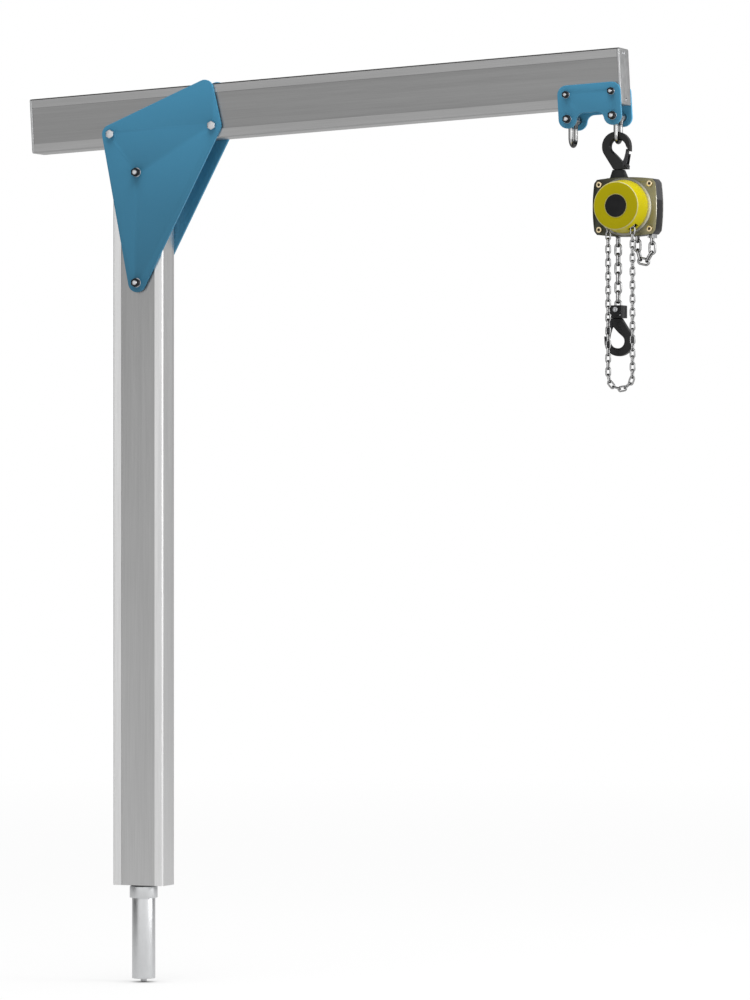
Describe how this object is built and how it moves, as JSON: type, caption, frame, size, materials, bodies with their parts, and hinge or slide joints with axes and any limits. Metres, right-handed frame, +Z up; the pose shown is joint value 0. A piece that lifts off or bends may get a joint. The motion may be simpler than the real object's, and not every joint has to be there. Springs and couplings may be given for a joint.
{
  "type": "davit crane",
  "caption": "Slewing davit crane: aluminium mast on a socket spigot, bolted jib with gusset plates, and a hand chain hoist hung from a shackle at the jib's end.",
  "frame": {"origin": "on the spigot's axis at the underside of the collar, where the crane stands on its socket's rim", "axes": "+Z up the mast, +X along the jib towards the hoist, -Y towards the hand wheel cover"},
  "size_m": [1.8305, 0.1581, 2.5277],
  "materials": {
    "aluminium": "mill-finish extruded aluminium, satin",
    "blue_powder_coat": "mid-blue powder coat, satin",
    "satin_steel": "satin turned steel",
    "zinc_bolts": "bright zinc plate",
    "black_nuts": "black oxide",
    "chrome": "bright plated steel",
    "black_hook": "satin black enamel on forged steel",
    "latch": "dark pressed steel",
    "housing": "dark grey enamel",
    "gold_screws": "yellow zinc plate",
    "yellow_cover": "gloss yellow enamel",
    "cover_centre": "matt black, bare",
    "bush_bronze": "turned bronze",
    "thrust_plastic": "black plastic",
    "friction_lining": "ratchet disc and linings"
  },
  "bodies": {
    "base": {"spigot_tube": "satin_steel", "foot_pin": "satin_steel", "spindle": "satin_steel", "spigot_collar": "satin_steel", "thrust_washer": "thrust_plastic", "retaining_washer": "satin_steel", "retaining_nut": "satin_steel"},
    "davit": {"slewing_bushes": "bush_bronze", "mast_foot_plate": "aluminium", "bearing_plate": "aluminium", "mast_profile": "aluminium", "mast_cap": "aluminium", "gusset_front_plate": "blue_powder_coat", "gusset_rear_plate": "blue_powder_coat", "gusset_jib_bolts": "zinc_bolts", "gusset_mast_bolts": "zinc_bolts", "gusset_nuts": "black_nuts", "gusset_washers": "black_nuts", "bolt_sleeves": "satin_steel", "jib_profile": "aluminium", "jib_end_caps": "aluminium", "end_cap_screws": "zinc_bolts", "bracket_front_plate": "blue_powder_coat", "bracket_rear_plate": "blue_powder_coat", "bracket_bolts": "zinc_bolts", "bracket_nuts": "black_nuts", "shackle_bolts": "zinc_bolts", "shackle_nuts": "black_nuts", "shackle_spacers": "satin_steel"},
    "inner_shackle_body": {"inner_shackle": "chrome"},
    "outer_shackle_body": {"outer_shackle": "chrome"},
    "top_hook_body": {"top_hook": "black_hook", "top_hook_nut": "satin_steel"},
    "top_latch_body": {"top_latch": "latch"},
    "hoist": {"hook_yoke": "black_hook", "suspension_pins": "satin_steel", "housing_front_plate": "housing", "housing_rear_plate": "housing", "housing_shell": "housing", "stay_screws": "gold_screws", "cover_ring": "chrome", "ratchet_brake": "friction_lining", "sheave_bearings": "satin_steel", "gear_case": "housing", "chain_anchor": "satin_steel", "sheave_chain": "chrome"},
    "cover": {"chain_cover": "yellow_cover", "cover_disc": "cover_centre", "hand_chain": "chrome"},
    "hand_drive": {"hand_wheel": "satin_steel", "drive_shaft": "satin_steel"},
    "pawl": {"brake_pawl": "satin_steel"},
    "sheave": {"load_sheave": "satin_steel"},
    "upper_counter": {"upper_counter_gear": "satin_steel"},
    "lower_counter": {"lower_counter_gear": "satin_steel"},
    "block": {"load_block": "black_hook", "block_pins": "zinc_bolts", "load_chain": "chrome"},
    "load_hook_body": {"load_hook": "black_hook"},
    "load_latch_body": {"load_latch": "latch"}
  },
  "joints": [
    {"name": "slew", "type": "hinge", "parent": "base", "child": "davit", "pos_m": [0, 0, 0], "axis": [0, 0, 1], "continuous": true},
    {"name": "inner_shackle_swing", "type": "hinge", "parent": "davit", "child": "inner_shackle_body", "pos_m": [1.25232, 0, 2.1079], "axis": [0, 1, 0], "range_deg": [-90, 90]},
    {"name": "outer_shackle_swing", "type": "hinge", "parent": "davit", "child": "outer_shackle_body", "pos_m": [1.37913, 0, 2.11468], "axis": [0, 1, 0], "range_deg": [-25, 25]},
    {"name": "top_hook_sway", "type": "hinge", "parent": "outer_shackle_body", "child": "top_hook_body", "pos_m": [1.37913, 0, 2.03498], "axis": [0, 1, 0], "range_deg": [-20, 20]},
    {"name": "top_latch_hinge", "type": "hinge", "parent": "top_hook_body", "child": "top_latch_body", "pos_m": [1.40114, 0, 1.98148], "axis": [0, -1, 0], "range_deg": [0, 30], "stiffness_Nm_per_rad": 0.05, "springref_deg": -34.38},
    {"name": "hoist_swivel", "type": "hinge", "parent": "top_hook_body", "child": "hoist", "pos_m": [1.37913, 0, 1.97348], "axis": [0, 0, 1], "continuous": true},
    {"name": "cover_turn", "type": "hinge", "parent": "hoist", "child": "cover", "pos_m": [1.40707, -0.00195, 1.87298], "axis": [0.0698, 0.9976, 0], "range_deg": [-90, 90]},
    {"name": "load_lift", "type": "slide", "parent": "hoist", "child": "block", "axis": [0, 0, 1], "range_m": [0, 0.15], "deforming": ["load_chain", "sheave_chain"]},
    {"name": "hand_wheel_turn", "type": "hinge", "parent": "hoist", "child": "hand_drive", "pos_m": [1.40707, -0.00195, 1.87298], "axis": [0.0698, 0.9976, 0], "range_deg": [-1, 2408]},
    {"name": "pawl_lift", "type": "hinge", "parent": "hoist", "child": "pawl", "pos_m": [1.36916, 0.0007, 1.90598], "axis": [0.0698, 0.9976, 0], "range_deg": [0, 25], "stiffness_Nm_per_rad": 0.01, "springref_deg": -34.38},
    {"name": "sheave_turn", "type": "hinge", "parent": "hoist", "child": "sheave", "pos_m": [1.40707, -0.00195, 1.87298], "axis": [0.0698, 0.9976, 0], "range_deg": [-1, 308]},
    {"name": "upper_counter_turn", "type": "hinge", "parent": "hoist", "child": "upper_counter", "pos_m": [1.40707, -0.00195, 1.90148], "axis": [0.0698, 0.9976, 0], "range_deg": [-861, 1]},
    {"name": "lower_counter_turn", "type": "hinge", "parent": "hoist", "child": "lower_counter", "pos_m": [1.40707, -0.00195, 1.84448], "axis": [0.0698, 0.9976, 0], "range_deg": [-861, 1]},
    {"name": "load_hook_swivel", "type": "hinge", "parent": "block", "child": "load_hook_body", "pos_m": [1.37913, 0, 1.57798], "axis": [0, 0, 1], "continuous": true},
    {"name": "load_latch_hinge", "type": "hinge", "parent": "load_hook_body", "child": "load_latch_body", "pos_m": [1.35713, 0, 1.56968], "axis": [0, -1, 0], "range_deg": [0, 30], "stiffness_Nm_per_rad": 0.05, "springref_deg": -34.38}
  ],
  "couplings": [
    {"joint": "hand_wheel_turn", "follows": "load_lift", "rad_per_m": 280},
    {"joint": "sheave_turn", "follows": "load_lift", "rad_per_m": 35.714},
    {"joint": "upper_counter_turn", "follows": "load_lift", "rad_per_m": -100},
    {"joint": "lower_counter_turn", "follows": "load_lift", "rad_per_m": -100}
  ]
}
